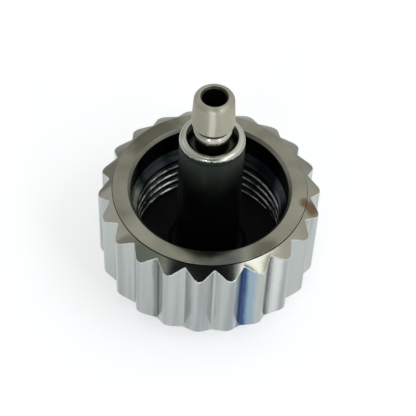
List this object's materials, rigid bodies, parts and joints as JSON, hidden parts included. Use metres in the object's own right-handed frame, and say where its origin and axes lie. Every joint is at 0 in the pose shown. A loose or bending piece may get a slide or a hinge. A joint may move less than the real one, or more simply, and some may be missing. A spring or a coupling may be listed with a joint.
{
  "type": "watch crown",
  "caption": "Fluted screw-down watch crown, with an open threaded skirt, a central post, and a sprung plunger that takes the winding stem.",
  "frame": {"origin": "centre of the outer end face, which the crown stands on with its open side up", "axes": "+Z along the crown's axis, from the outer end face towards the nose that takes the stem"},
  "size_m": [0.007, 0.007, 0.0077],
  "materials": {
    "shell_steel": "polished",
    "sleeve_steel": "fine turned",
    "post_steel": "turned",
    "plunger_steel": "fine turned",
    "spring_steel": "drawn wire",
    "black_rubber": "matte"
  },
  "bodies": {
    "head": {"fluted_shell": "shell_steel", "threaded_sleeve": "sleeve_steel", "floor_gasket": "black_rubber", "post_tube": "post_steel", "drive_bush": "post_steel", "plunger_spring": "spring_steel"},
    "plunger": {"plunger": "plunger_steel"}
  },
  "joints": [
    {"name": "plunger_slide", "type": "slide", "parent": "head", "child": "plunger", "axis": [0, 0, -1], "range_m": [0, 0.0013], "stiffness_N_per_m": 600, "deforming": ["plunger_spring"]}
  ]
}
